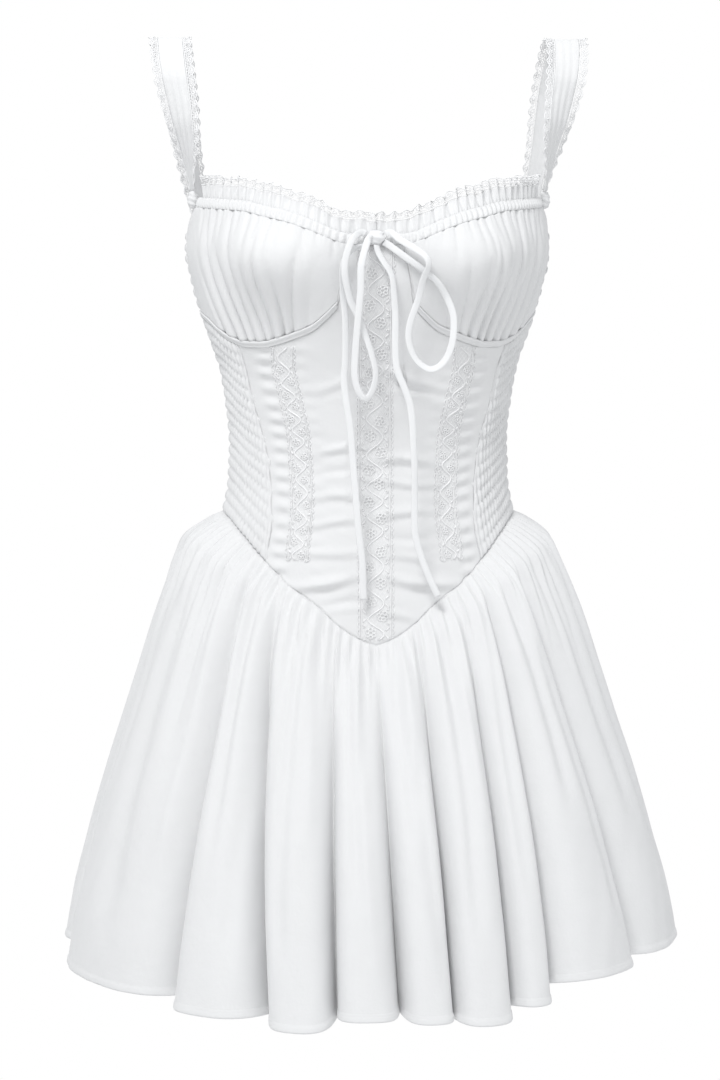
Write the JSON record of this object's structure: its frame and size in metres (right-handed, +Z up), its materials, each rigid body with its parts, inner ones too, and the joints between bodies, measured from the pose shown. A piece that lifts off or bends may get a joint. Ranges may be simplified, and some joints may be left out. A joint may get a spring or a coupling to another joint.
{
  "type": "corset dress",
  "caption": "Short white cotton dress with a corset bodice, gathered cups, lace strips, a neck tie, wide straps and a full gathered skirt.",
  "frame": {"origin": "midway between the shoulders, at the underside of the straps where they lie on the wearer", "axes": "+Z up, -Y out of the front of the dress, +X to the wearer's left"},
  "size_m": [0.4932, 0.4705, 0.7359],
  "materials": {
    "cotton": "matte plain weave",
    "lace": "matte openwork",
    "tie": "matte"
  },
  "bodies": {
    "root": {"back_panel": "cotton", "cup_left": "cotton", "cup_right": "cotton", "front_panel": "cotton", "neck_casing_left": "cotton", "neck_casing_right": "cotton", "neck_ruffle_left": "cotton", "neck_ruffle_right": "cotton", "side_smocked_left": "cotton", "side_smocked_right": "cotton", "skirt_back": "cotton", "skirt_front": "cotton", "strap_knot_left": "cotton", "strap_knot_right": "cotton", "strap_left": "cotton", "strap_right": "cotton", "underbust_band_left": "cotton", "underbust_band_right": "cotton", "lace_strip_centre": "lace", "lace_strip_left": "lace", "lace_strip_right": "lace", "neck_lace_left": "lace", "neck_lace_right": "lace", "strap_lace_inner_left": "lace", "strap_lace_inner_right": "lace", "strap_lace_outer_left": "lace", "strap_lace_outer_right": "lace", "bow_knot": "tie", "bow_loop_left": "tie", "bow_loop_right": "tie", "tie_tail_left": "tie", "tie_tail_right": "tie"}
  },
  "joints": []
}
